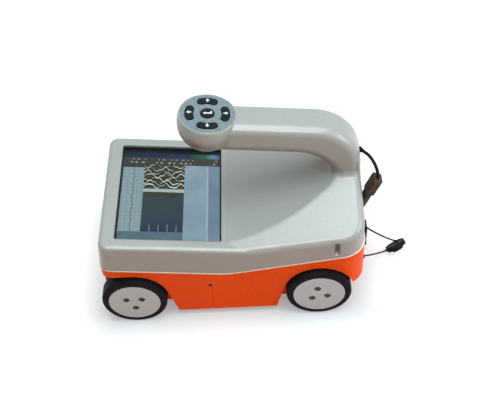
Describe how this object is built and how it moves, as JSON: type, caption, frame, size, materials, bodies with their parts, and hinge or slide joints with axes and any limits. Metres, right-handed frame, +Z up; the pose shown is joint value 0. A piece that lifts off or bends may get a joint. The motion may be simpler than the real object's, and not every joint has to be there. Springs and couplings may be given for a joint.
{
  "type": "handheld concrete scanning radar",
  "caption": "Hand-pushed scanner on rolling wheels with a sunk screen, an arched handle ending in a round key pod, an orange antenna base and a plugged rear lead.",
  "frame": {"origin": "on the floor, under the middle of the instrument's box without its free lead and cap", "axes": "+X to the rear of the instrument, +Y to its far side, +Z up"},
  "size_m": [0.2912, 0.15, 0.194],
  "materials": {
    "silver_casing": "satin metallic paint on moulded ABS",
    "orange_base": "satin moulded plastic",
    "pale_seal": "matt extruded seal",
    "black_seal": "matt foam seal",
    "screen_glass": "polished cover glass",
    "display": "lit liquid crystal panel",
    "keypad_blue_grey": "fine satin moulding",
    "black_rubber": "matt moulded rubber",
    "black_plastic": "fine satin moulding",
    "tyre_rubber": "matt moulded rubber",
    "hub_grey": "fine speckled moulding",
    "steel": "ground",
    "black_steel": "black oxide",
    "bronze": "sintered",
    "aluminium": "sheet",
    "circuit_board": "solder mask",
    "slide_plastic": "low friction sheet",
    "battery_black": "satin moulding"
  },
  "bodies": {
    "chassis": {"base_tub": "orange_base", "wear_plate": "slide_plastic", "wear_plate_screws": "steel", "seam_gasket": "pale_seal", "casing_screws": "black_steel", "top_casing": "silver_casing", "handle_under_cover": "silver_casing", "screen_gasket": "black_seal", "screen_glass": "screen_glass", "display_panel": "display", "display_bracket": "aluminium", "display_screws": "steel", "main_board": "circuit_board", "keypad_panel": "keypad_blue_grey", "key_membrane": "black_rubber", "keypad_board": "circuit_board", "handle_cable": "black_rubber", "lead_gland": "black_rubber", "handle_lead": "black_rubber", "lead_plug": "black_plastic", "lead_socket": "black_plastic", "dust_cap": "black_rubber", "cap_tether_upper": "black_rubber", "cap_tether_lower": "black_rubber", "tether_post": "black_rubber", "tether_anchor": "black_plastic", "power_switch": "black_plastic", "battery_tray": "black_plastic", "battery_pack": "battery_black", "battery_door_pin": "steel", "axle_bushes": "bronze", "encoder_sensor": "black_plastic", "antenna_shield": "aluminium", "antenna_board": "circuit_board", "radar_module": "aluminium", "laser_modules": "black_plastic"},
    "front_wheelset": {"front_axle": "steel", "front_hub_screws": "black_steel", "front_near_rim": "hub_grey", "front_near_tyre": "tyre_rubber", "front_near_hub_disc": "hub_grey", "front_far_rim": "hub_grey", "front_far_tyre": "tyre_rubber", "front_far_hub_disc": "hub_grey"},
    "rear_wheelset": {"rear_axle": "steel", "rear_hub_screws": "black_steel", "rear_near_rim": "hub_grey", "rear_near_tyre": "tyre_rubber", "rear_near_hub_disc": "hub_grey", "rear_far_rim": "hub_grey", "rear_far_tyre": "tyre_rubber", "rear_far_hub_disc": "hub_grey", "encoder_disc": "black_steel"},
    "key_up": {"key_up": "black_rubber"},
    "key_down": {"key_down": "black_rubber"},
    "key_left": {"key_left": "black_rubber"},
    "key_right": {"key_right": "black_rubber"},
    "key_enter": {"key_enter": "black_rubber"},
    "power_button": {"power_button": "black_rubber"},
    "battery_door": {"battery_door": "orange_base"}
  },
  "joints": [
    {"name": "front_wheels_roll", "type": "hinge", "parent": "chassis", "child": "front_wheelset", "pos_m": [-0.093, 0, 0.03], "axis": [0, 1, 0], "continuous": true},
    {"name": "rear_wheels_roll", "type": "hinge", "parent": "chassis", "child": "rear_wheelset", "pos_m": [0.077, 0, 0.03], "axis": [0, 1, 0], "continuous": true},
    {"name": "press_up", "type": "slide", "parent": "chassis", "child": "key_up", "axis": [-0.1132, 0, -0.9936], "range_m": [0, 0.0008], "stiffness_N_per_m": 2500},
    {"name": "press_down", "type": "slide", "parent": "chassis", "child": "key_down", "axis": [-0.1132, 0, -0.9936], "range_m": [0, 0.0008], "stiffness_N_per_m": 2500},
    {"name": "press_left", "type": "slide", "parent": "chassis", "child": "key_left", "axis": [-0.1132, 0, -0.9936], "range_m": [0, 0.0008], "stiffness_N_per_m": 2500},
    {"name": "press_right", "type": "slide", "parent": "chassis", "child": "key_right", "axis": [-0.1132, 0, -0.9936], "range_m": [0, 0.0008], "stiffness_N_per_m": 2500},
    {"name": "press_enter", "type": "slide", "parent": "chassis", "child": "key_enter", "axis": [-0.1132, 0, -0.9936], "range_m": [0, 0.0008], "stiffness_N_per_m": 2500},
    {"name": "press_power", "type": "slide", "parent": "chassis", "child": "power_button", "axis": [-1, 0, 0], "range_m": [0, 0.0015], "stiffness_N_per_m": 2000},
    {"name": "battery_door_swing", "type": "hinge", "parent": "chassis", "child": "battery_door", "pos_m": [0.1169, 0.027, 0.0714], "axis": [0, -1, 0], "range_deg": [0, 90]}
  ]
}
